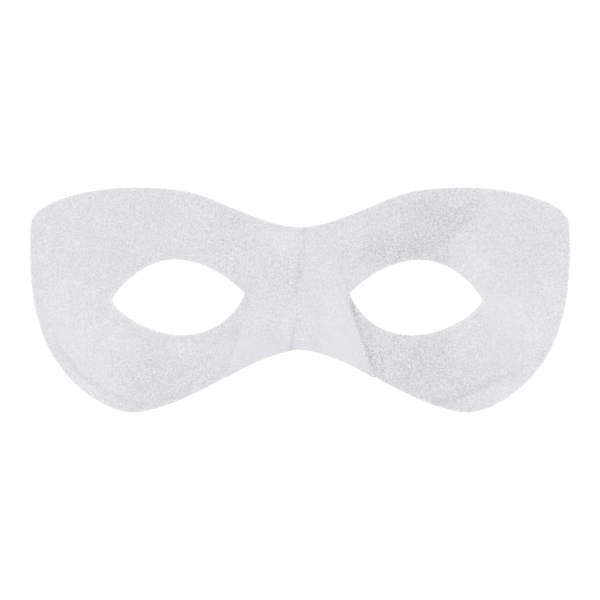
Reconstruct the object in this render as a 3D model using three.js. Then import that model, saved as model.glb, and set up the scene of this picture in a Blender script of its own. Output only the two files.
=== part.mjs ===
// Domino mask: a soft one-piece half mask for the eyes, moulded from a single sheet of stiff felt.
// Units are millimetres. +X runs across the face, +Y up to the forehead and +Z out of the front.
// The mask lies front up on its two side edges, which the surface presses flat. The origin is on
// that surface, under the middle of the mask.
import * as THREE from "three";

// Driving dimensions
const MASK_WIDTH = 190;
const MASK_HEIGHT = 78.8;
const WALL = 1.8;
// The rounded cut edge stands this far past the line where the front face ends
const EDGE_BULGE = 0.3;

// The wrap round the face: how far the brow stands above the side edges
const WRAP_DEPTH = 36;
// The side edges bend up from the arc by this much to lie on the surface, in a soft bend
const SIDE_LIE = 2;
const SIDE_BEND = 1;
// How much of the wall the surface presses flat under the side edges
const FOOT_PRESS = 0.5;
// Below this height, counted from mid height, the lower lobes lift off the surface
const LOBE_LIFT_START = -27;
const LOBE_LIFT_BLEND = 3;
// How far the brow and the lower edge fall back from mid height
const BROW_SAG = 4.4;
const LOWER_SAG = 3.6;

// Eye openings, cut out of the moulded sheet a little to one side
const EYE_WIDTH = 47;
const EYE_HEIGHT = 26.9;
const EYE_SPACING = 84.2;
const EYE_LIFT = 0.9;
const EYE_SHIFT = -1;
const SOCKET_DEPTH = 2.2;
// The recess round an opening reaches this many times the opening's own size
const SOCKET_REACH = 0.45;

// Nose: a ridge down the middle with a flank on each side and a crease at each flank's foot
const NOSE_RISE_TOP = 2.4;
const NOSE_RISE_LOW = 12.5;
const NOSE_FOOT_TOP = 9.5;
const NOSE_FOOT_LOW = 26.3;
const NOSE_RIDGE_ROUND = 3.2;
const NOSE_RISE_POWER = 1.35;

// The lower rim is turned back along a fold line
const RIM_TURN_WIDTH = 3.3;
const RIM_TURN_DROP = 0.7;

// Depth of the deepest soft dent
const DENT_DEPTH = 1.3;

// Right half of the outline, from the middle of the lower edge round the side to the middle of the
// top edge. across and up are shares of half the width and half the height; heading is the way
// the edge runs, in degrees; before and after are the curve's pull, as shares of each span.
const OUTLINE = [
  { across: 0.0, up: -0.441, heading: 0, before: 0.33, after: 0.26 },
  { across: 0.272, up: -0.675, heading: -31, before: 0.33, after: 0.23 },
  { across: 0.622, up: -1.0, heading: 0, before: 0.26, after: 0.3 },
  { across: 0.852, up: -0.703, heading: 48, before: 0.29, after: 0.35 },
  { across: 0.974, up: -0.145, heading: 76, before: 0.37, after: 0.38 },
  { across: 1.0, up: 0.52, heading: 90, before: 0.32, after: 0.49 },
  { across: 0.947, up: 0.833, heading: 150, before: 0.43, after: 0.28 },
  { across: 0.608, up: 1.0, heading: 180, before: 0.33, after: 0.57 },
  { across: 0.237, up: 0.803, heading: 202, before: 0.32, after: 0.35 },
  { across: 0.0, up: 0.645, heading: 180, before: 0.29, after: 0.33 },
];
// The side stretch of the outline lies between these two rows
const SIDE_FIRST_ROW = 2;
const SIDE_LAST_ROW = 5;

// Right eye opening, from its inner corner under the eye to its outer corner and back over it.
// across and up are shares of half the opening's width and height, from its own centre.
const EYE = [
  { across: -1.0, up: 0.1, heading: -90, before: 0.02, after: 0.05 },
  { across: -0.03, up: -1.0, heading: 0, before: 0.63, after: 0.44 },
  { across: 1.0, up: -0.06, heading: 90, before: 0.13, after: 0.04 },
  { across: 0.05, up: 1.0, heading: 180, before: 0.5, after: 0.51 },
];

// Soft dents and swellings. across, up, wide and high are shares of half the width and half the
// height, and rise is a share of the dent depth, down where it is negative.
const DENTS = [
  { name: "left inner brow hollow", across: -0.26, up: 0.52, wide: 0.1, high: 0.34, rise: -1.0 },
  { name: "right inner brow hollow", across: 0.29, up: 0.46, wide: 0.08, high: 0.26, rise: -0.8 },
  { name: "right brow flat", across: 0.42, up: 0.62, wide: 0.2, high: 0.3, rise: -0.6 },
  { name: "right outer brow swell", across: 0.66, up: 0.5, wide: 0.12, high: 0.34, rise: 0.9 },
  { name: "left brow swell", across: -0.55, up: 0.66, wide: 0.24, high: 0.26, rise: 0.6 },
  { name: "left cheek dent", across: -0.47, up: -0.62, wide: 0.14, high: 0.24, rise: -0.7 },
  { name: "right cheek swell", across: 0.55, up: -0.66, wide: 0.2, high: 0.2, rise: 0.6 },
];

// Mesh: steps in each stretch of the outline, down the centre line, and from the eye to the rim
const OUTLINE_STEPS = [6, 6, 7, 6, 6, 4, 7, 6, 5];
const CENTRE_STEPS = 11;
const CURVE_SAMPLES = 24;
const RINGS = [0, 0.12, 0.27, 0.43, 0.59, 0.75, 0.88, 0.96, 1];
const SLOPE_STEP = 0.4;

const half = { across: MASK_WIDTH / 2 - EDGE_BULGE, up: MASK_HEIGHT / 2 - EDGE_BULGE };
const radians = THREE.MathUtils.degToRad;

// One smooth span between two rows of a table, in millimetres
function span(from, to, size) {
  const start = new THREE.Vector2(from.across * size.across, from.up * size.up);
  const end = new THREE.Vector2(to.across * size.across, to.up * size.up);
  const reach = start.distanceTo(end);
  const leave = new THREE.Vector2(Math.cos(radians(from.heading)), Math.sin(radians(from.heading)));
  const arrive = new THREE.Vector2(Math.cos(radians(to.heading)), Math.sin(radians(to.heading)));
  return new THREE.CubicBezierCurve(
    start,
    start.clone().addScaledVector(leave, reach * from.after),
    end.clone().addScaledVector(arrive, -reach * to.before),
    end,
  );
}

// The points along a run of table rows, with the given number of steps in each span
function trace(rows, size, steps) {
  const points = [];
  for (let i = 0; i + 1 < rows.length; i += 1) {
    const curve = span(rows[i], rows[i + 1], size);
    for (let k = 0; k < steps[i]; k += 1) points.push(curve.getPoint(k / steps[i]));
  }
  const last = rows[rows.length - 1];
  points.push(new THREE.Vector2(last.across * size.across, last.up * size.up));
  return points;
}

const fineSteps = OUTLINE_STEPS.map(() => CURVE_SAMPLES);
const fineOutline = trace(OUTLINE, half, fineSteps);
const sideRun = fineOutline.slice(SIDE_FIRST_ROW * CURVE_SAMPLES, SIDE_LAST_ROW * CURVE_SAMPLES + 1);

// How far out the side edge is at a height, so that the whole side edge meets the surface
function sideReach(y) {
  const soft = Math.log1p(Math.exp(-Math.abs(y - LOBE_LIFT_START) / LOBE_LIFT_BLEND));
  const height = Math.max(y, LOBE_LIFT_START) + LOBE_LIFT_BLEND * soft;
  const next = sideRun.findIndex((point) => point.y >= height);
  if (next < 0) return sideRun[sideRun.length - 1].x;
  if (next === 0) return sideRun[0].x;
  const low = sideRun[next - 1];
  const high = sideRun[next];
  return THREE.MathUtils.mapLinear(height, low.y, high.y, low.x, high.x);
}

// The arc round the face, which flattens out where the side edges lie on the surface
function wrapHeight(x, y) {
  const reach = sideReach(y);
  const radius = (reach * reach + WRAP_DEPTH * WRAP_DEPTH) / (2 * WRAP_DEPTH);
  const out = Math.min(Math.abs(x), radius);
  const arc = WRAP_DEPTH - radius + Math.sqrt(radius * radius - out * out) - SIDE_LIE;
  return SIDE_BEND * Math.log1p(Math.exp(arc / SIDE_BEND));
}

// The fall of the brow and of the lower edge, which fades out towards the side edges
function sagHeight(x, y) {
  const up = y / half.up;
  const sag = y > 0 ? BROW_SAG : LOWER_SAG;
  const share = Math.min(1, Math.abs(x) / half.across);
  return -sag * up * up * (1 - share * share);
}

const topMiddle = OUTLINE[OUTLINE.length - 1].up * half.up;
const lowMiddle = OUTLINE[0].up * half.up;
const noseFootEnd = OUTLINE[1].up * half.up;

// The nose ridge, highest at the lower edge, with straight flanks down to the creases
function noseHeight(x, y) {
  const down = THREE.MathUtils.clamp((topMiddle - y) / (topMiddle - lowMiddle), 0, 1);
  const rise = THREE.MathUtils.lerp(NOSE_RISE_TOP, NOSE_RISE_LOW, down ** NOSE_RISE_POWER);
  const foot = THREE.MathUtils.mapLinear(y, topMiddle, noseFootEnd, NOSE_FOOT_TOP, NOSE_FOOT_LOW);
  const full = Math.hypot(foot, NOSE_RIDGE_ROUND);
  const left = full - Math.hypot(Math.min(Math.abs(x), foot), NOSE_RIDGE_ROUND);
  return (rise * left) / (full - NOSE_RIDGE_ROUND);
}

function eyeCentre(side) {
  return new THREE.Vector2(side * (EYE_SPACING / 2) + EYE_SHIFT, EYE_LIFT);
}

// The recesses that the eye openings sit in
function socketHeight(x, y) {
  let height = 0;
  for (const side of [1, -1]) {
    const centre = eyeCentre(side);
    const around = Math.hypot((x - centre.x) / (EYE_WIDTH / 2), (y - centre.y) / (EYE_HEIGHT / 2));
    const past = Math.max(0, around - 1) / SOCKET_REACH;
    height -= SOCKET_DEPTH * Math.exp(-past * past);
  }
  return height;
}

function dentHeight(x, y) {
  let height = 0;
  for (const dent of DENTS) {
    const dx = (x / half.across - dent.across) / dent.wide;
    const dy = (y / half.up - dent.up) / dent.high;
    height += dent.rise * DENT_DEPTH * Math.exp(-dx * dx - dy * dy);
  }
  return height;
}

// How far a point is from the outline
function rimDistance(x, y) {
  let nearest = Infinity;
  for (const point of fineOutline) {
    nearest = Math.min(nearest, Math.hypot(Math.abs(x) - point.x, y - point.y));
  }
  return nearest;
}

// The turned-back strip along the lower rim, which fades out above mid height
function rimTurnHeight(x, y) {
  const low = THREE.MathUtils.smoothstep(-y, 0, half.up / 2);
  const beyondNose = THREE.MathUtils.smoothstep(Math.abs(x), NOSE_FOOT_TOP, NOSE_FOOT_LOW);
  const strip = 1 - THREE.MathUtils.smoothstep(rimDistance(x, y), 0, RIM_TURN_WIDTH);
  return -RIM_TURN_DROP * low * beyondNose * strip;
}

// Height of the front face above the surface
function frontHeight(x, y) {
  const shape = wrapHeight(x, y) + sagHeight(x, y) + noseHeight(x, y);
  const relief = socketHeight(x, y) + dentHeight(x, y) + rimTurnHeight(x, y);
  // Relief fades out where the side edges lie on the surface
  const clear = THREE.MathUtils.smoothstep(sideReach(y) - Math.abs(x), WALL, WALL + 2 * SIDE_LIE);
  return WALL - FOOT_PRESS + shape + relief * clear;
}

function frontPoint(x, y) {
  return new THREE.Vector3(x, y, frontHeight(x, y));
}

// The way out of the front face
function frontNormal(x, y) {
  const slopeX = (frontHeight(x + SLOPE_STEP, y) - frontHeight(x - SLOPE_STEP, y)) / (2 * SLOPE_STEP);
  const slopeY = (frontHeight(x, y + SLOPE_STEP) - frontHeight(x, y - SLOPE_STEP)) / (2 * SLOPE_STEP);
  return new THREE.Vector3(-slopeX, -slopeY, 1).normalize();
}

// Where the line from an eye's centre through a point crosses the rim of its opening
function eyeRimPoint(rim, centre, towards) {
  const aim = Math.atan2(towards.y - centre.y, towards.x - centre.x);
  for (let i = 0; i + 1 < rim.length; i += 1) {
    const turn = (point) => {
      const angle = Math.atan2(point.y - centre.y, point.x - centre.x) - aim;
      return Math.atan2(Math.sin(angle), Math.cos(angle));
    };
    const here = turn(rim[i]);
    const there = turn(rim[i + 1]);
    if (here <= 0 && there > 0 && there - here < Math.PI) {
      return rim[i].clone().lerp(rim[i + 1], here / (here - there));
    }
  }
  throw new Error("an eye opening isn't round its own centre");
}

// The closed shell: front and back grids for each half, joined by the rim and the eye edges
function shellGeometry() {
  const positions = [];
  const indices = [];
  const shared = new Map();

  // Points on the centre line belong to both halves
  const addPoint = (point, key) => {
    if (key && shared.has(key)) return shared.get(key);
    const index = positions.length / 3;
    positions.push(point.x, point.y, Math.max(0, point.z));
    if (key) shared.set(key, index);
    return index;
  };

  const outline = trace(OUTLINE, half, OUTLINE_STEPS);
  const centreLine = [];
  for (let k = 1; k < CENTRE_STEPS; k += 1) {
    centreLine.push(new THREE.Vector2(0, THREE.MathUtils.lerp(topMiddle, lowMiddle, k / CENTRE_STEPS)));
  }
  const loop = [...outline, ...centreLine];

  const eyeHalf = { across: EYE_WIDTH / 2 + EDGE_BULGE, up: EYE_HEIGHT / 2 + EDGE_BULGE };
  const eyeLoop = trace([...EYE, EYE[0]], eyeHalf, EYE.map(() => CURVE_SAMPLES));

  for (const side of [1, -1]) {
    const centre = eyeCentre(side);
    const flip = (point) => new THREE.Vector2(side * point.x, point.y);
    const rim = eyeLoop.map((point) => flip(point).add(centre));
    if (side < 0) rim.reverse();
    // Facing order turns round with the mirror
    const quad = (a, b, c, d) => {
      if (side > 0) indices.push(a, b, c, a, c, d);
      else indices.push(a, c, b, a, d, c);
    };

    const spokes = loop.map((outer, k) => {
      const end = flip(outer);
      const start = eyeRimPoint(rim, centre, end);
      const onCentre = outer.x === 0;
      const spoke = { front: [], back: [] };
      RINGS.forEach((share, ring) => {
        const flat = start.clone().lerp(end, share);
        const front = frontPoint(flat.x, flat.y);
        const back = front.clone().addScaledVector(frontNormal(flat.x, flat.y), -WALL);
        const key = onCentre && ring === RINGS.length - 1 ? `${k}` : "";
        spoke.front.push(addPoint(front, key && `front${key}`));
        spoke.back.push(addPoint(back, key && `back${key}`));
        const isEdge = ring === 0 || ring === RINGS.length - 1;
        if (!isEdge) return;
        // The cut edge bulges out between the two faces
        const out = ring === 0 ? start.clone().sub(end) : end.clone().sub(start);
        const push = new THREE.Vector3(out.x, out.y, 0);
        push.projectOnPlane(frontNormal(flat.x, flat.y)).normalize();
        const bulge = front.clone().lerp(back, 0.5).addScaledVector(push, EDGE_BULGE);
        if (ring === 0) spoke.eyeEdge = addPoint(bulge, "");
        else if (k < outline.length) spoke.rimEdge = addPoint(bulge, key && `edge${key}`);
      });
      return spoke;
    });

    spokes.forEach((spoke, k) => {
      const next = spokes[(k + 1) % spokes.length];
      for (let ring = 0; ring + 1 < RINGS.length; ring += 1) {
        quad(spoke.front[ring], spoke.front[ring + 1], next.front[ring + 1], next.front[ring]);
        quad(spoke.back[ring], next.back[ring], next.back[ring + 1], spoke.back[ring + 1]);
      }
      quad(spoke.eyeEdge, spoke.front[0], next.front[0], next.eyeEdge);
      quad(spoke.back[0], spoke.eyeEdge, next.eyeEdge, next.back[0]);
      if (k + 1 < outline.length) {
        const last = RINGS.length - 1;
        quad(spoke.front[last], spoke.rimEdge, next.rimEdge, next.front[last]);
        quad(spoke.rimEdge, spoke.back[last], next.back[last], next.rimEdge);
      }
    });
  }

  const geometry = new THREE.BufferGeometry();
  geometry.setAttribute("position", new THREE.Float32BufferAttribute(positions, 3));
  geometry.setIndex(indices);
  geometry.computeVertexNormals();
  return geometry;
}

// Short-nap felt, very pale and a little cool
function feltMaterial() {
  return new THREE.MeshStandardMaterial({ color: 0xe4e4e9, roughness: 0.95, metalness: 0 });
}

const mask = new THREE.Group();
const shell = new THREE.Mesh(shellGeometry(), feltMaterial());
shell.name = "mask_shell";
mask.add(shell);

export default mask;
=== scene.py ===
import functools
import math

import bpy
import numpy as np
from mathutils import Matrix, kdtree


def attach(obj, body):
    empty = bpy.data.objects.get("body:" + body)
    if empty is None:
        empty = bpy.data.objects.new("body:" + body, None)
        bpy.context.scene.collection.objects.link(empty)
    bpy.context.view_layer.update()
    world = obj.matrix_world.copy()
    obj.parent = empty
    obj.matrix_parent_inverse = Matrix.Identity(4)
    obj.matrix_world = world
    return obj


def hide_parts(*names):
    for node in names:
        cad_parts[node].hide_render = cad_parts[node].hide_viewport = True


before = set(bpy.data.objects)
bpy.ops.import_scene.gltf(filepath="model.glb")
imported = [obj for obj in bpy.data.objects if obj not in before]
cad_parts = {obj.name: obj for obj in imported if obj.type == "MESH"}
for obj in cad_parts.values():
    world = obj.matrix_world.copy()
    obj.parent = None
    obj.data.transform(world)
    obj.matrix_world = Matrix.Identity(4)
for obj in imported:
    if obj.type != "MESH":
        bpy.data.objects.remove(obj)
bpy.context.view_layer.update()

MM = 0.001

# The main sizes, the same as the solid's
MASK_WIDTH = 190.0
MASK_HEIGHT = 78.8
WALL = 1.8

# The wrap round the face: how far the brow stands above the side edges
WRAP_DEPTH = 36.0
# The side edges bend up from the arc by this much to lie on the floor, in a soft bend
SIDE_LIE = 2.0
SIDE_BEND = 1.0
# How much of the wall the floor presses flat under the side edges
FOOT_PRESS = 0.5
# Below this height, counted from mid height, the lower lobes lift off the floor
LOBE_LIFT_START = -27.0
LOBE_LIFT_BLEND = 3.0
# How far the brow and the lower edge fall back from mid height
BROW_SAG = 4.4
LOWER_SAG = 3.6

# Eye openings, a little to one side. The recess round one reaches this many times its own size.
EYE_WIDTH = 47.0
EYE_HEIGHT = 26.9
EYE_SPACING = 84.2
EYE_LIFT = 0.9
EYE_SHIFT = -1.0
SOCKET_DEPTH = 2.2
SOCKET_REACH = 0.45

# Nose: a ridge down the middle with a flank on each side, at the top and at the lower edge
NOSE_RISE_TOP = 2.4
NOSE_RISE_LOW = 12.5
NOSE_FOOT_TOP = 9.5
NOSE_FOOT_LOW = 26.3
NOSE_RIDGE_ROUND = 3.2
NOSE_RISE_POWER = 1.35

# The lower rim is turned back along a fold line
RIM_TURN_WIDTH = 3.3
RIM_TURN_DROP = 0.7

# Depth of the deepest soft dent
DENT_DEPTH = 1.3

# The lips of the cut edge, and how far in from the edge its warmer colour shows, painted paler as
# light over the shade of the rounded lips
LIP_RADIUS = 0.4
CUT_FADE = 0.48

# How far the cut wanders off its line, either way, in waves of these lengths, how near a line's
# ends it is calmer, and how far the nap stands past the line
CUT_WANDER = 0.018
CUT_WAVES = 18
CUT_WAVE_LENGTHS = (1.6, 5.0)
CUT_CALM = 3.0
NAP_STAND = 0.115

# The slight unevenness of moulded felt, in waves of these lengths
LUMP_HEIGHT = 0.07
LUMP_WAVES = 26
LUMP_LENGTHS = (3.0, 14.0)

# Seeds of the random draws
OUTLINE_SEED = 20
EYE_SEED = 30
FRONT_SEED = 4
BACK_SEED = 9

# Painted light: how much lighter the felt is painted where it turns down at the sides, in place of
# light on the steep sides, and how far in that reaches
PAINTED_SIDE_LIGHT = 0.058
SIDE_LIGHT_REACH = 2.8

# Mesh: samples in each span of a curve, points along half the outline and down the middle line,
# and rings between an eye opening and the outline, a little closer together far from the eye
CURVE_SAMPLES = 160
OUTLINE_COUNT = 430
CENTRE_COUNT = 90
MIDDLE_RINGS = {"front": 52, "back": 8}
RING_LEAN = 0.4
# Distances of the rings next to an edge
EDGE_RINGS = (0, 0.05, 0.14, 0.27, 0.43, 0.64, 0.95, 1.35)
# A slope is taken between points this far to each side
SLOPE_STEP = 0.25

# Shares of a crease's line over which it fades in, and over which its groove and its painted shade
# fade out
CREASE_START = (0, 0.1)
GROOVE_END = (0.75, 0.95)
SHADE_END = (0.85, 1.0)
# The lips of a crease lie this many widths from its middle
LIP_PLACE = 2
# A change beside a line fades out this far past the line's ends, from this far before them
LINE_PAST = 5
LINE_BEFORE = 1

# Colours of the felt, as linear red, green and blue
PLAIN_FELT = (0.824, 0.816, 0.859)
GREEN_FELT = (0.812, 0.843, 0.872)
# At the cut: warmer, and painted paler as light over the shade of the rounded lips
CUT_TINT_AND_PAINTED_LIGHT = (0.893, 0.892, 0.884)
# The noise of the green clouds, how much a greener place adds to it, and where in the sum green
# begins and is full
CLOUD_SCALE = 330
CLOUD_DETAIL = 2.0
GREEN_PULL = 0.35
GREEN_START = 0.66
GREEN_FULL = 0.78

# Sockets of a Mix node that mixes vectors, by number, because their names repeat
MIX_SHARE = 0
MIX_FIRST = 4
MIX_SECOND = 5
MIX_RESULT = 1


def table(columns, *rows):
    """Rows with named columns."""
    return [dict(zip(columns.split(), row)) for row in rows]


# Right half of the outline, from the middle of the lower edge round the side to the middle of the
# top edge. across and up are shares of half the width and half the height, heading is the way the
# edge runs, in degrees, and before and after are the curve's pull, as shares of each span.
CURVE_COLUMNS = "across up heading before after"
OUTLINE = table(
    CURVE_COLUMNS,
    (0.0, -0.441, 0, 0.33, 0.26),
    (0.272, -0.675, -31, 0.33, 0.23),
    (0.622, -1.0, 0, 0.26, 0.3),
    (0.852, -0.703, 48, 0.29, 0.35),
    (0.974, -0.145, 76, 0.37, 0.38),
    (1.0, 0.52, 90, 0.32, 0.49),
    (0.947, 0.833, 150, 0.43, 0.28),
    (0.608, 1.0, 180, 0.33, 0.57),
    (0.237, 0.803, 202, 0.32, 0.35),
    (0.0, 0.645, 180, 0.29, 0.33),
)
# The side stretch lies between two of these rows, and the foot of the nose ends at one
SIDE_FIRST_ROW = 2
SIDE_LAST_ROW = 5
NOSE_FOOT_ROW = 1

# Right eye opening, as shares of half its own width and height
EYE = table(
    CURVE_COLUMNS,
    (-1.0, 0.1, -90, 0.02, 0.05),
    (-0.03, -1.0, 0, 0.63, 0.44),
    (1.0, -0.06, 90, 0.13, 0.04),
    (0.05, 1.0, 180, 0.5, 0.51),
)

# Soft dents and swellings. across, up, wide and high are shares of half the width and half the
# height, and rise is a share of the dent depth, down where it is negative.
DENTS = table(
    "name across up wide high rise",
    ("left inner brow hollow", -0.26, 0.52, 0.1, 0.34, -1.0),
    ("right inner brow hollow", 0.29, 0.46, 0.08, 0.26, -0.8),
    ("right brow flat", 0.42, 0.62, 0.2, 0.3, -0.6),
    ("right outer brow swell", 0.66, 0.5, 0.12, 0.34, 0.9),
    ("left brow swell", -0.55, 0.66, 0.24, 0.26, 0.6),
    ("left cheek dent", -0.47, -0.62, 0.14, 0.24, -0.7),
    ("right cheek swell", 0.55, -0.66, 0.2, 0.2, 0.6),
)

# Creases: the groove's depth and width, the height of the lips beside it, how much painted shade
# darkens the felt in it, and its line of points
CREASES = table(
    "name deep wide lips shade line",
    ("right flank", 0.28, 0.8, 0.08, 0.03,
     ((15.9, 2.7), (19.2, -7.0), (21.3, -13.0), (24.0, -21.0), (26.0, -26.8))),
    ("left flank", 0.08, 1.7, 0.0, 0.0,
     ((-17.6, -0.4), (-20.4, -10.0), (-25.8, -24.0))),
    ("middle, high", 0.3, 1.2, 0.05, 0.055,
     ((1.1, 27.0), (0.6, 17.0), (-1.0, 7.9), (-2.6, -1.0))),
    ("middle, low", 0.35, 0.65, 0.14, 0.08,
     ((-2.1, -9.0), (-2.6, -12.6), (-3.2, -16.8), (-3.7, -19.6))),
    ("right fold", 0.3, 0.9, 0.08, 0.055,
     ((43.0, -37.6), (53.6, -35.0), (60.0, -32.6), (66.2, -29.2), (78.6, -24.8))),
    ("left fold", 0.3, 1.0, 0.08, 0.06,
     ((-58.0, -37.4), (-68.4, -31.9), (-77.2, -25.9), (-83.8, -17.8), (-87.6, -9.0))),
    ("right brow", 0.08, 0.7, 0.03, 0.0,
     ((59.0, 26.4), (55.0, 24.2), (52.0, 21.4), (51.0, 13.2))),
)

# Places where the felt changes. Their tone changes are partly painted light and shade, standing in
# for light and shadow on the brow, the nose and the cheeks, and partly the nap lying another way.
# The columns give their middle and reach, their lean in degrees, and the changes in the felt's
# tone, in the strength of its grain and in its green
NAP_AND_PAINTED_LIGHT_PATCHES = table(
    "name across up wide high lean nap_tone nap_grain nap_green",
    ("light spot on the bridge", -6.0, 21.0, 7.0, 5.0, 25, 0.07, -0.2, 0.0),
    ("left inner brow, high", -25.0, 25.0, 8.0, 9.0, 0, -0.03, 0.1, 0.0),
    ("left inner brow, low", -26.0, 17.4, 8.0, 6.0, 0, 0.0, 0.3, 0.0),
    ("left of the ridge, high", -7.0, 8.6, 5.0, 7.0, 0, -0.02, 0.35, 0.0),
    ("right of the ridge", 9.0, 0.0, 7.0, 12.0, 0, 0.02, -0.2, 0.4),
    ("smooth right flank", 14.5, -17.0, 9.0, 9.0, 0, 0.01, -0.85, 0.3),
    ("green right flank", 14.5, -13.0, 5.0, 12.0, 24, 0.0, 0.0, 0.6),
    ("smooth left flank", -15.0, -18.0, 10.0, 7.0, 0, 0.01, -0.75, 0.7),
    ("light line left of the ridge", -5.2, -8.0, 2.0, 9.0, 5, 0.055, -0.2, 0.0),
    ("light line by the low crease", -0.2, -13.2, 1.6, 4.0, 0, 0.04, 0.0, 0.0),
    ("dark brow over the right eye", 31.5, 17.2, 12.0, 5.5, 0, -0.085, 0.65, 0.0),
    ("dark right brow, high", 45.0, 29.0, 14.0, 10.0, 0, -0.073, 0.35, 0.0),
    ("under the right eye", 39.0, -20.0, 14.0, 10.0, 0, -0.05, 0.4, 0.0),
    ("rough foot of the right flank", 25.5, -20.6, 3.0, 4.5, 15, 0.0, 0.4, 0.0),
    ("light beside the dark brow", 62.5, 13.5, 6.5, 12.0, 35, 0.035, -0.25, 0.0),
    ("smooth right temple", 72.5, -5.0, 9.0, 16.0, 0, 0.02, -0.4, 0.3),
    ("right temple, high", 83.0, 18.0, 15.0, 17.0, 0, -0.058, 0.1, 0.0),
    ("right outer brow", 68.5, 31.0, 6.0, 7.0, 0, -0.025, -0.25, 0.3),
    ("right cheek, over the fold", 57.0, -29.0, 16.0, 7.5, 15, -0.048, 0.3, 0.0),
    ("along the right fold", 60.0, -30.8, 10.0, 1.8, 27, -0.03, 0.3, 0.0),
    ("right outer cheek", 75.0, -23.0, 11.0, 10.0, 0, -0.03, 0.0, 0.0),
    ("under the right fold", 65.0, -34.6, 8.0, 2.5, 20, 0.02, -0.3, 0.2),
    ("green right half", 50.0, 0.0, 44.0, 60.0, 0, 0.0, 0.0, 0.6),
    ("green under the left eye", -37.0, -19.0, 8.0, 8.0, 0, 0.0, 0.0, 0.4),
    ("left outer cheek", -71.0, -17.0, 17.0, 16.0, 0, 0.038, -0.15, 0.0),
    ("right side", 90.0, 0.0, 4.0, 9.0, 0, 0.02, 0.0, 0.0),
    ("left side", -79.0, -1.5, 8.0, 9.0, 0, 0.025, 0.0, 0.0),
    ("right eye's inner corner", 17.7, -1.4, 1.5, 3.2, 24, -0.045, 0.5, 0.0),
    ("left cheek, low", -46.0, -27.0, 13.0, 9.0, 0, -0.015, 0.15, 0.0),
    ("left of the ridge", -16.0, 6.0, 7.0, 12.0, 0, 0.02, 0.0, 0.0),
    ("foot of the left flank", -26.0, -19.0, 5.0, 7.0, -20, 0.03, 0.0, 0.0),
    ("left eye's inner corner", -21.5, -5.5, 7.0, 2.6, -72, 0.035, 0.0, 0.0),
    ("light under the left eye", -40.3, -17.7, 5.0, 3.0, 0, 0.025, 0.0, 0.0),
    ("light over the left eye", -37.0, 21.0, 7.5, 6.5, 0, 0.028, 0.0, 0.0),
)

# Lines down the felt where the nap changes and where painted shade, and in one place painted
# light, begins, at the edges of shade beside the nose, over the right brow and on the cheeks. The
# columns give the side that changes, +1 to the right of the line, how soft the line is, how far
# the change reaches, and the changes in tone and grain
NAP_AND_PAINTED_LIGHT_EDGES = table(
    "name side soft reach nap_tone nap_grain line",
    ("right of the right flank", 1, 0.4, 16.0, -0.012, 0.4,
     ((16.6, 0.8), (21.3, -13.0), (26.0, -26.8))),
    ("close to the right flank", 1, 0.4, 2.6, -0.035, 0.5,
     ((16.4, 1.6), (21.3, -13.0), (26.0, -26.8))),
    ("end of the dark brow, high", -1, 4.0, 13.0, -0.04, 0.4,
     ((63.0, 40.0), (62.0, 27.0))),
    ("end of the dark brow, low", -1, 0.8, 12.0, -0.065, 0.4,
     ((58.5, 25.5), (55.0, 24.0), (52.7, 21.6), (52.4, 13.0))),
    ("right cheek", -1, 1.6, 12.0, -0.035, 0.2,
     ((51.6, -8.5), (51.6, -24.0))),
    ("left cheek", 1, 1.8, 9.0, -0.028, 0.2,
     ((-54.6, -15.0), (-56.8, -23.0), (-61.4, -35.0))),
    ("left of the left flank", -1, 1.8, 6.0, 0.015, 0.2,
     ((-25.0, -9.0), (-29.8, -27.0))),
)

# Layers of noise in the felt: its scale for a metre, its detail, how far it is squeezed into
# fibres and turned, the stretch of it that counts, and the shades at the stretch's two ends
LAYER_COLUMNS = "name scale detail squeeze turn start end shade_start shade_end"
NAP_LAYERS = table(
    LAYER_COLUMNS,
    ("tufts", 1500, 0.0, 1, 0.0, 0.25, 0.75, 0.932, 1.068),
    ("pits", 1800, 0.0, 1, 0.0, 0.56, 0.80, 1.015, 0.90),
    ("fine grain", 2600, 0.0, 1, 0.0, 0.25, 0.75, 0.92, 1.08),
    ("finest grain", 5200, 1.0, 1, 0.0, 0.25, 0.75, 0.92, 1.08),
    ("fibres one way", 1900, 1.0, 4, 0.6, 0.25, 0.75, 0.94, 1.06),
    ("fibres the other way", 1900, 1.0, 4, -0.9, 0.25, 0.75, 0.94, 1.06),
)
MOTTLE_LAYERS = table(
    LAYER_COLUMNS,
    ("broad mottling", 110, 3.0, 1, 0.0, 0.25, 0.75, 0.975, 1.025),
    ("small mottling", 420, 2.0, 1, 0.0, 0.25, 0.75, 0.985, 1.015),
)


def place(row, size):
    """Where a row of a curve lies, in millimetres."""
    return np.array((row["across"], row["up"])) * size


def heading(row):
    """The way a curve runs at a row, as a unit vector."""
    angle = math.radians(row["heading"])
    return np.array((math.cos(angle), math.sin(angle)))


def span(start, end, size):
    """Points along one smooth span between two rows, without its end point."""
    first = place(start, size)
    last = place(end, size)
    reach = np.linalg.norm(last - first)
    pull_first = first + heading(start) * reach * start["after"]
    pull_last = last - heading(end) * reach * end["before"]
    t = (np.arange(CURVE_SAMPLES) / CURVE_SAMPLES)[:, None]
    s = 1 - t
    return s**3 * first + 3 * s * s * t * pull_first + 3 * s * t * t * pull_last + t**3 * last


def trace(rows, size):
    """Points along a whole run of rows."""
    spans = [span(start, end, size) for start, end in zip(rows[:-1], rows[1:])]
    return np.vstack([*spans, [place(rows[-1], size)]])


def smoothstep(value, low, high):
    """0 below low and 1 above high, with a smooth rise between them."""
    t = np.clip((value - low) / (high - low), 0, 1)
    return t * t * (3 - 2 * t)


def tree_of(points):
    """A search tree over flat points, for distances."""
    tree = kdtree.KDTree(len(points))
    for i, (x, y) in enumerate(points):
        tree.insert((x, y, 0), i)
    tree.balance()
    return tree


def distance_to(tree, x, y):
    """Distance from each point to the nearest one in a search tree."""
    found = [tree.find((a, b, 0))[2] for a, b in zip(np.ravel(x), np.ravel(y))]
    return np.array(found).reshape(np.shape(x))


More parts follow.
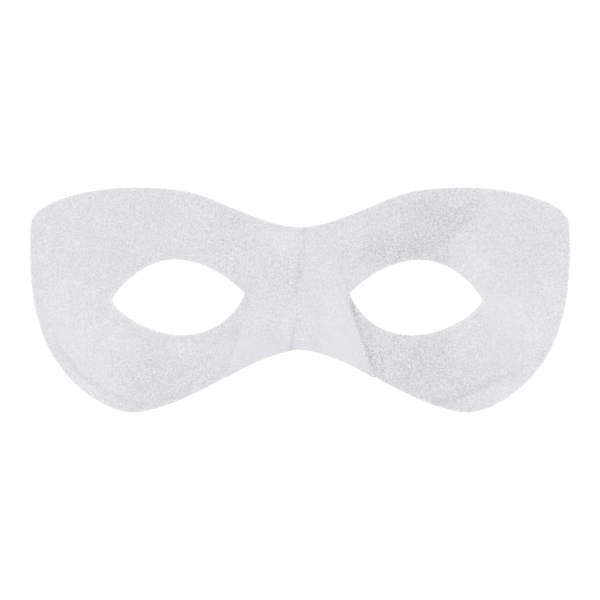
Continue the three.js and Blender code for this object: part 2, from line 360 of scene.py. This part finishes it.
half = np.array((MASK_WIDTH / 2, MASK_HEIGHT / 2))
outline = trace(OUTLINE, half)
side_run = outline[SIDE_FIRST_ROW * CURVE_SAMPLES:SIDE_LAST_ROW * CURVE_SAMPLES + 1]
top_middle = OUTLINE[-1]["up"] * half[1]
low_middle = OUTLINE[0]["up"] * half[1]
nose_foot_end = OUTLINE[NOSE_FOOT_ROW]["up"] * half[1]
eye_size = np.array((EYE_WIDTH / 2, EYE_HEIGHT / 2))
eye_loop = trace([*EYE, EYE[0]], eye_size)


def eye_centre(side):
    """The middle of an eye opening, with side +1 for the right one and -1 for the left."""
    return np.array((side * EYE_SPACING / 2 + EYE_SHIFT, EYE_LIFT))


def cut_line(line, stand, seed):
    """A cut edge with its nap: it strays a little to each side, but not at its two ends."""
    rng = np.random.default_rng(seed)
    steps = np.linalg.norm(np.diff(line, axis=0), axis=1)
    at = np.r_[0, np.cumsum(steps)]
    stray = np.zeros(len(line))
    for _ in range(CUT_WAVES):
        length = rng.uniform(*CUT_WAVE_LENGTHS)
        stray += np.sin(2 * math.pi * at / length + rng.uniform(0, 2 * math.pi))
    stray *= CUT_WANDER / math.sqrt(CUT_WAVES / 2)
    stray = (stray + stand) * smoothstep(at, 0, CUT_CALM) * smoothstep(at[-1] - at, 0, CUT_CALM)
    along = np.gradient(line, axis=0)
    across = np.stack([along[:, 1], -along[:, 0]], axis=1)
    across /= np.maximum(np.linalg.norm(across, axis=1), 1e-9)[:, None]
    return line + across * stray[:, None]


# The cut lines as they came out, for each side
cut_outlines = {}
cut_eyes = {}
for side in (1, -1):
    cut_outlines[side] = cut_line(outline, NAP_STAND, OUTLINE_SEED + side) * (side, 1)
    cut_eyes[side] = cut_line(eye_loop, -NAP_STAND, EYE_SEED + side) * (side, 1) + eye_centre(side)
outline_tree = tree_of(np.vstack([outline, outline * (-1, 1)]))
edge_tree = tree_of(np.vstack([*cut_outlines.values(), *cut_eyes.values()]))


def side_reach(y):
    """How far out the side edge lies at a height, held still where the lower lobes lift."""
    soft = np.log1p(np.exp(-np.abs(y - LOBE_LIFT_START) / LOBE_LIFT_BLEND))
    height = np.maximum(y, LOBE_LIFT_START) + LOBE_LIFT_BLEND * soft
    return np.interp(height, side_run[:, 1], side_run[:, 0])


def wrap_height(x, y):
    """The arc round the face, which bends softly to lie on the floor at the sides."""
    reach = side_reach(y)
    radius = (reach**2 + WRAP_DEPTH**2) / (2 * WRAP_DEPTH)
    out = np.minimum(np.abs(x), radius)
    arc = WRAP_DEPTH - radius + np.sqrt(radius**2 - out**2) - SIDE_LIE
    return SIDE_BEND * np.logaddexp(0, arc / SIDE_BEND)


def sag_height(x, y):
    """The fall of the brow and of the lower edge, which fades out at the sides."""
    sag = np.where(y > 0, BROW_SAG, LOWER_SAG)
    share = np.minimum(1, np.abs(x) / half[0])
    return -sag * (y / half[1])**2 * (1 - share**2)


def nose_height(x, y):
    """The ridge of the nose, which rises and widens towards the lower edge."""
    down = np.clip((top_middle - y) / (top_middle - low_middle), 0, 1)
    rise = NOSE_RISE_TOP + (NOSE_RISE_LOW - NOSE_RISE_TOP) * down**NOSE_RISE_POWER
    along = (y - top_middle) / (nose_foot_end - top_middle)
    foot = NOSE_FOOT_TOP + (NOSE_FOOT_LOW - NOSE_FOOT_TOP) * along
    full = np.hypot(foot, NOSE_RIDGE_ROUND)
    left = full - np.hypot(np.minimum(np.abs(x), foot), NOSE_RIDGE_ROUND)
    return rise * left / (full - NOSE_RIDGE_ROUND)


def socket_height(x, y):
    """The recess round each eye opening."""
    height = 0
    for side in (1, -1):
        centre = eye_centre(side)
        around = np.hypot((x - centre[0]) / eye_size[0], (y - centre[1]) / eye_size[1])
        past = np.maximum(0, around - 1) / SOCKET_REACH
        height = height - SOCKET_DEPTH * np.exp(-past**2)
    return height


def dent_height(x, y):
    """The soft dents and swellings."""
    height = 0
    for dent in DENTS:
        dx = (x / half[0] - dent["across"]) / dent["wide"]
        dy = (y / half[1] - dent["up"]) / dent["high"]
        height = height + dent["rise"] * DENT_DEPTH * np.exp(-dx * dx - dy * dy)
    return height


def rim_turn_height(x, y):
    """The strip turned back along the lower rim, beside the nose."""
    low = smoothstep(-y, 0, half[1] / 2)
    beyond_nose = smoothstep(np.abs(x), NOSE_FOOT_TOP, NOSE_FOOT_LOW)
    strip = 1 - smoothstep(distance_to(outline_tree, x, y), 0, RIM_TURN_WIDTH)
    return -RIM_TURN_DROP * low * beyond_nose * strip


def form_height(x, y):
    """The moulded form, the same as the solid's front face."""
    shape = wrap_height(x, y) + sag_height(x, y) + nose_height(x, y)
    relief = socket_height(x, y) + dent_height(x, y) + rim_turn_height(x, y)
    clear = smoothstep(side_reach(y) - np.abs(x), WALL, WALL + 2 * SIDE_LIE)
    return WALL - FOOT_PRESS + shape + relief * clear


def normals(x, y):
    """Unit vectors straight out of the moulded form."""
    step = SLOPE_STEP
    slope_x = (form_height(x + step, y) - form_height(x - step, y)) / (2 * step)
    slope_y = (form_height(x, y + step) - form_height(x, y - step)) / (2 * step)
    out = np.stack([-slope_x, -slope_y, np.ones(np.shape(x))], axis=-1)
    return out / np.linalg.norm(out, axis=-1, keepdims=True)


def line_distance(line, x, y):
    """Distance to a line of points, and how far along it as a share."""
    best = np.full(np.shape(x), np.inf)
    where = np.zeros(np.shape(x))
    lengths = [math.dist(a, b) for a, b in zip(line[:-1], line[1:])]
    total = sum(lengths)
    before = 0
    for (ax, ay), (bx, by), length in zip(line[:-1], line[1:], lengths):
        t = ((x - ax) * (bx - ax) + (y - ay) * (by - ay)) / length**2
        t = np.clip(t, 0, 1)
        gap = np.hypot(x - ax - t * (bx - ax), y - ay - t * (by - ay))
        nearer = gap < best
        best = np.where(nearer, gap, best)
        where = np.where(nearer, (before + t * length) / total, where)
        before += length
    return best, where


def left_of_crease(where, end):
    """How much of a crease is there along its line, fading in at its start and out at its end."""
    return smoothstep(where, *CREASE_START) * (1 - smoothstep(where, *end))


def crease_relief(x, y):
    """Grooves with low lips."""
    relief = 0
    for crease in CREASES:
        gap, where = line_distance(crease["line"], x, y)
        gap = gap / crease["wide"]
        groove = -crease["deep"] * np.exp(-gap**2)
        lips = crease["lips"] * np.exp(-(gap - LIP_PLACE)**2)
        relief = relief + (groove + lips) * left_of_crease(where, GROOVE_END)
    return relief


def lump_relief(x, y, seed):
    """The unevenness of moulded felt, as a sum of waves, the long ones higher."""
    rng = np.random.default_rng(seed)
    longest = LUMP_LENGTHS[1]
    relief = 0
    for _ in range(LUMP_WAVES):
        length = rng.uniform(*LUMP_LENGTHS)
        angle = rng.uniform(0, math.pi)
        phase = rng.uniform(0, 2 * math.pi)
        along = x * math.cos(angle) + y * math.sin(angle)
        relief = relief + (length / longest) * np.sin(2 * math.pi * along / length + phase)
    return LUMP_HEIGHT * relief / math.sqrt(LUMP_WAVES / 2)


def lip_drop(x, y):
    """How far the rounded lips fall away along every edge."""
    gap = np.minimum(distance_to(edge_tree, x, y), LIP_RADIUS)
    return LIP_RADIUS - np.sqrt(LIP_RADIUS**2 - (LIP_RADIUS - gap)**2)


def raised(x, y, height):
    """Points of the moulded form, moved out of it by a height and kept on or above the floor."""
    form = np.stack([x, y, form_height(x, y)], axis=-1)
    points = form + normals(x, y) * height[..., None]
    points[..., 2] = np.maximum(points[..., 2], 0)
    return points


def front_points(x, y):
    """The front face, with its creases, its unevenness and its rounded lips."""
    return raised(x, y, crease_relief(x, y) + lump_relief(x, y, FRONT_SEED) - lip_drop(x, y))


def back_points(x, y):
    """The back face, one wall further in, with an unevenness of its own and rounded lips."""
    return raised(x, y, lip_drop(x, y) - lump_relief(x, y, BACK_SEED) - WALL)


def beside(edge, x, y):
    """How much a change beside a line shows: 1 at the line on its side, fading away from it."""
    line = np.array(sorted(edge["line"], key=lambda point: point[1]))
    low, high = line[0, 1], line[-1, 1]
    gap = (x - np.interp(y, line[:, 1], line[:, 0])) * edge["side"]
    from_low = smoothstep(y, low - LINE_PAST, low + LINE_BEFORE)
    to_high = 1 - smoothstep(y, high - LINE_BEFORE, high + LINE_PAST)
    away = np.exp(-(np.maximum(gap, 0) / edge["reach"])**2)
    return smoothstep(gap, -edge["soft"], edge["soft"]) * away * from_low * to_high


def inside(patch, x, y):
    """How far inside a soft patch a point is, from 0 to 1."""
    turn = math.radians(patch["lean"])
    dx, dy = x - patch["across"], y - patch["up"]
    along = (dx * math.cos(turn) + dy * math.sin(turn)) / patch["wide"]
    over = (dy * math.cos(turn) - dx * math.sin(turn)) / patch["high"]
    return np.exp(-along**2 - over**2)


def back_looks(x):
    """The felt's tone and the strength of its grain, both 1, and its green, which is none."""
    return {
        "nap_tone": np.ones(x.shape),
        "nap_grain": np.ones(x.shape),
        "nap_green": np.zeros(x.shape),
    }


def front_looks(x, y):
    """The same for the front, with painted light on its turned-down sides, painted light and shade
    in its patches and lines along with their grain and green, and painted shade in its creases.
    """
    looks = back_looks(x)
    # Painted light where the sides turn down
    looks["nap_tone"] += PAINTED_SIDE_LIGHT * np.exp(-((side_reach(y) - np.abs(x)) / SIDE_LIGHT_REACH)**2)
    # Patches and lines paint light and shade into the tone, and change the grain and green
    changes = [(patch, inside(patch, x, y)) for patch in NAP_AND_PAINTED_LIGHT_PATCHES]
    changes += [(edge, beside(edge, x, y)) for edge in NAP_AND_PAINTED_LIGHT_EDGES]
    for change, share in changes:
        for name in looks:
            looks[name] += change.get(name, 0) * share
    # Painted shade along each crease
    for crease in CREASES:
        gap, where = line_distance(crease["line"], x, y)
        shade = crease["shade"] * np.exp(-(gap / crease["wide"])**2)
        looks["nap_tone"] -= shade * left_of_crease(where, SHADE_END)
    return looks


def resample(points, count):
    """Evenly spaced points along a line of points, without its last point."""
    steps = np.r_[0, np.cumsum(np.linalg.norm(np.diff(points, axis=0), axis=1))]
    at = np.linspace(0, steps[-1], count + 1)[:-1]
    return np.stack([np.interp(at, steps, points[:, k]) for k in (0, 1)], axis=1)


def rim_crossings(rim, centre, ends):
    """Where the lines from an eye's centre to the given points cross its rim."""
    turn = np.unwrap(np.arctan2(rim[:, 1] - centre[1], rim[:, 0] - centre[0]))
    if turn[-1] < turn[0]:
        rim, turn = rim[::-1], turn[::-1]
    aim = np.arctan2(ends[:, 1] - centre[1], ends[:, 0] - centre[0])
    aim = turn[0] + np.mod(aim - turn[0], 2 * math.pi)
    return np.stack([np.interp(aim, turn, rim[:, k]) for k in (0, 1)], axis=1)


def flat_grid(side, middle_rings):
    """Flat points of one half: spokes from the eye opening out to the outline or the middle."""
    rim_run = resample(cut_outlines[side], OUTLINE_COUNT)
    down = np.linspace(top_middle, low_middle, CENTRE_COUNT + 1)[:-1]
    middle = np.stack([np.zeros(CENTRE_COUNT), down], axis=1)
    ends = np.vstack([rim_run, middle])
    starts = rim_crossings(cut_eyes[side], eye_centre(side), ends)
    length = np.linalg.norm(ends - starts, axis=1)[:, None]
    near = np.array(EDGE_RINGS)
    edge = near[-1]
    even = np.linspace(0, 1, middle_rings + 2)[1:-1]
    share = even + RING_LEAN * even * (1 - even)
    distance = np.hstack([
        np.broadcast_to(near, (len(ends), len(near))),
        edge + share * (length - 2 * edge),
        length - near[::-1],
    ])
    ratio = (distance / length)[..., None]
    return starts[:, None] * (1 - ratio) + ends[:, None] * ratio


def half_face(side, face):
    """The front or back of one half: its points, and the felt's looks at each of them."""
    flat = flat_grid(side, MIDDLE_RINGS[face])
    x, y = flat[..., 0], flat[..., 1]
    if face == "front":
        points, looks = front_points(x, y), front_looks(x, y)
    else:
        points, looks = back_points(x, y), back_looks(x)
    # Where the cut's warmer colour, painted paler as light over the lips' shade, shows
    looks["cut_edge"] = np.exp(-(distance_to(edge_tree, x, y) / CUT_FADE)**2)
    return points, looks


def half_quads(front, back):
    """Quads between the numbered points of one half: front, back, eye opening and outer edge."""
    after = np.roll(np.arange(len(front)), -1)
    rim = np.arange(OUTLINE_COUNT)
    corners = (
        (front[:, :-1], front[:, 1:], front[after, 1:], front[after, :-1]),
        (back[:, :-1], back[after, :-1], back[after, 1:], back[:, 1:]),
        (back[:, 0], front[:, 0], front[after, 0], back[after, 0]),
        (front[rim, -1], back[rim, -1], back[rim + 1, -1], front[rim + 1, -1]),
    )
    return np.vstack([np.stack(four, axis=-1).reshape(-1, 4) for four in corners])


def add_mesh(name, points, faces, material):
    """A new object with a mesh of its own, from points in metres."""
    mesh = bpy.data.meshes.new(name)
    mesh.from_pydata(points, [], faces)
    mesh.materials.append(material)
    mesh.validate()
    made = bpy.data.objects.new(name, mesh)
    bpy.context.collection.objects.link(made)
    return made


def felt_shell(material):
    """The whole mask as one closed body: front, back and cut edges."""
    points = []
    looks = {}
    faces = []
    shared = {}
    count = 0
    for side in (1, -1):
        numbers = {}
        for face in MIDDLE_RINGS:
            surface, felt = half_face(side, face)
            rows, columns = surface.shape[:2]
            number = np.arange(rows * columns).reshape(rows, columns) + count
            count += number.size
            # The middle line's points belong to both halves
            middle = np.r_[OUTLINE_COUNT:rows, 0]
            number[middle, -1] = shared.setdefault(face, number[middle, -1].copy())
            numbers[face] = number
            points.append(surface.reshape(-1, 3))
            for name, values in felt.items():
                looks.setdefault(name, []).append(values.ravel())
        quads = half_quads(numbers["front"], numbers["back"])
        faces.append(quads if side > 0 else quads[:, ::-1])
    faces = np.vstack(faces)
    used, renumbered = np.unique(faces, return_inverse=True)
    corners = (np.vstack(points)[used] * MM).tolist()
    shell = add_mesh("felt_shell", corners, renumbered.reshape(faces.shape).tolist(), material)
    for name, values in looks.items():
        attribute = shell.data.attributes.new(name, "FLOAT", "POINT")
        attribute.data.foreach_set("value", np.concatenate(values)[used].astype(np.float32))
    shell.data.shade_smooth()
    return shell


def feed(tree, socket, value):
    """Give an input another node's output, or a plain number or colour."""
    if isinstance(value, bpy.types.NodeSocket):
        tree.links.new(value, socket)
    else:
        socket.default_value = value


def node(tree, kind, inputs, **settings):
    """A new node with its settings, and its inputs fed by name or number."""
    made = tree.nodes.new(kind)
    for name, value in settings.items():
        setattr(made, name, value)
    for socket, value in inputs.items():
        feed(tree, made.inputs[socket], value)
    return made


def maths(tree, operation, *values):
    """One step of arithmetic on outputs or numbers."""
    made = node(tree, "ShaderNodeMath", dict(enumerate(values)), operation=operation)
    return made.outputs["Value"]


def look(tree, name):
    """One of the felt's looks, stored at the points of the mesh."""
    return node(tree, "ShaderNodeAttribute", {}, attribute_name=name).outputs["Fac"]


def mixed(tree, share, first, second):
    """A colour that goes from the first to the second as the share goes from 0 to 1."""
    colours = {MIX_SHARE: share, MIX_FIRST: first, MIX_SECOND: second}
    return node(tree, "ShaderNodeMix", colours, data_type="VECTOR").outputs[MIX_RESULT]


def noise(tree, scale, detail, squeeze=1, turn=0.0):
    """Noise in the object's own space."""
    mapping = node(tree, "ShaderNodeMapping", {
        "Vector": node(tree, "ShaderNodeTexCoord", {}).outputs["Object"],
        "Scale": (1, squeeze, 1),
        "Rotation": (0, 0, turn),
    })
    made = node(tree, "ShaderNodeTexNoise", {
        "Vector": mapping.outputs["Vector"],
        "Scale": scale,
        "Detail": detail,
        "Roughness": 0.6,
    })
    return made.outputs["Fac"]


def shades(tree, layer):
    """The shades of one layer of noise."""
    made = node(tree, "ShaderNodeMapRange", {
        "Value": noise(tree, layer["scale"], layer["detail"], layer["squeeze"], layer["turn"]),
        "From Min": layer["start"],
        "From Max": layer["end"],
        "To Min": layer["shade_start"],
        "To Max": layer["shade_end"],
    })
    return made.outputs["Result"]


def all_layers(tree, layers):
    """Layers of noise multiplied together."""
    made = [shades(tree, layer) for layer in layers]
    return functools.reduce(functools.partial(maths, tree, "MULTIPLY"), made)


def felt_shade(tree, nap):
    """The felt's brightness: its nap, which shows more in some places, its mottling, and its tone
    with the painted light and shade.
    """
    around_none = maths(tree, "SUBTRACT", nap, 1.0)
    grained = maths(tree, "MULTIPLY_ADD", around_none, look(tree, "nap_grain"), 1.0)
    mottled = maths(tree, "MULTIPLY", all_layers(tree, MOTTLE_LAYERS), look(tree, "nap_tone"))
    return maths(tree, "MULTIPLY", grained, mottled)


def felt_colour(tree):
    """The felt's colour: greener in small uneven clouds, and warmer at the cut, where it is also
    painted paler as light over the shade of the rounded lips.
    """
    plain_clouds = noise(tree, CLOUD_SCALE, CLOUD_DETAIL)
    clouds = maths(tree, "MULTIPLY_ADD", look(tree, "nap_green"), GREEN_PULL, plain_clouds)
    green = node(tree, "ShaderNodeMapRange", {
        "Value": clouds,
        "From Min": GREEN_START,
        "From Max": GREEN_FULL,
    })
    felt = mixed(tree, green.outputs["Result"], PLAIN_FELT, GREEN_FELT)
    return mixed(tree, look(tree, "cut_edge"), felt, CUT_TINT_AND_PAINTED_LIGHT)


def new_material(name, surface):
    """A new material, with values set on its shader's own sockets."""
    material = bpy.data.materials.new(name)
    material.use_nodes = True
    shader = material.node_tree.nodes["Principled BSDF"]
    for socket, value in surface.items():
        shader.inputs[socket].default_value = value
    return material


def felt_material():
    """Short-nap felt: fine fibres in every direction, soft mottling and a faint sheen."""
    material = new_material("felt", {
        "Roughness": 0.95,
        "Specular IOR Level": 0.15,
        "Sheen Weight": 0.12,
        "Sheen Roughness": 0.6,
    })
    tree = material.node_tree
    nap = all_layers(tree, NAP_LAYERS)
    shaded = {0: felt_colour(tree), "Scale": felt_shade(tree, nap)}
    colour = node(tree, "ShaderNodeVectorMath", shaded, operation="SCALE")
    bump = node(tree, "ShaderNodeBump", {"Strength": 0.35, "Distance": 0.00015, "Height": nap})
    shader = tree.nodes["Principled BSDF"]
    feed(tree, shader.inputs["Base Color"], colour.outputs["Vector"])
    feed(tree, shader.inputs["Normal"], bump.outputs["Normal"])
    return material


def floor():
    """A plain white floor just under the mask, lit from inside like a light table."""
    reach = 3.0
    level = -0.0001
    material = new_material("floor", {
        "Base Color": (0.15, 0.15, 0.15, 1),
        "Roughness": 0.9,
        "Specular IOR Level": 0.0,
        "Emission Color": (1, 1, 1, 1),
        "Emission Strength": 0.97,
    })
    corners = [(x * reach, y * reach, level) for x, y in ((-1, -1), (1, -1), (1, 1), (-1, 1))]
    add_mesh("floor", corners, [(0, 1, 2, 3)], material)


def area_light(name, place, power):
    """A round light that faces the mask."""
    data = bpy.data.lights.new(name, "AREA")
    data.energy = power
    data.shape = "DISK"
    data.size = 0.6
    light = bpy.data.objects.new(name, data)
    light.location = place
    light.rotation_euler = (-light.location).to_track_quat("-Z", "Y").to_euler()
    bpy.context.collection.objects.link(light)


def studio():
    """Soft light from all round, with a little more from each side."""
    world = bpy.data.worlds.new("studio")
    world.use_nodes = True
    background = world.node_tree.nodes["Background"]
    background.inputs["Color"].default_value = (1, 1, 1, 1)
    background.inputs["Strength"].default_value = 0.56
    bpy.context.scene.world = world
    area_light("left", (-1.0, 0.05, 0.7), 4.5)
    area_light("right", (1.0, 0.1, 0.7), 4.85)
    bpy.context.scene.view_settings.view_transform = "Standard"
    bpy.context.scene.view_settings.look = "None"


def camera():
    """Straight above the mask. The picture is as wide as the photo at the mask's mean height."""
    distance = 6.0
    mean_height = 0.006
    picture_width = 0.2110
    data = bpy.data.cameras.new("camera")
    data.lens = data.sensor_width * (distance - mean_height) / picture_width
    data.clip_end = 20
    made = bpy.data.objects.new("camera", data)
    made.location = (0, 0, distance)
    bpy.context.collection.objects.link(made)
    bpy.context.scene.camera = made


camera()
studio()
floor()
shell = felt_shell(felt_material())
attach(shell, "root")
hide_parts("mask_shell")
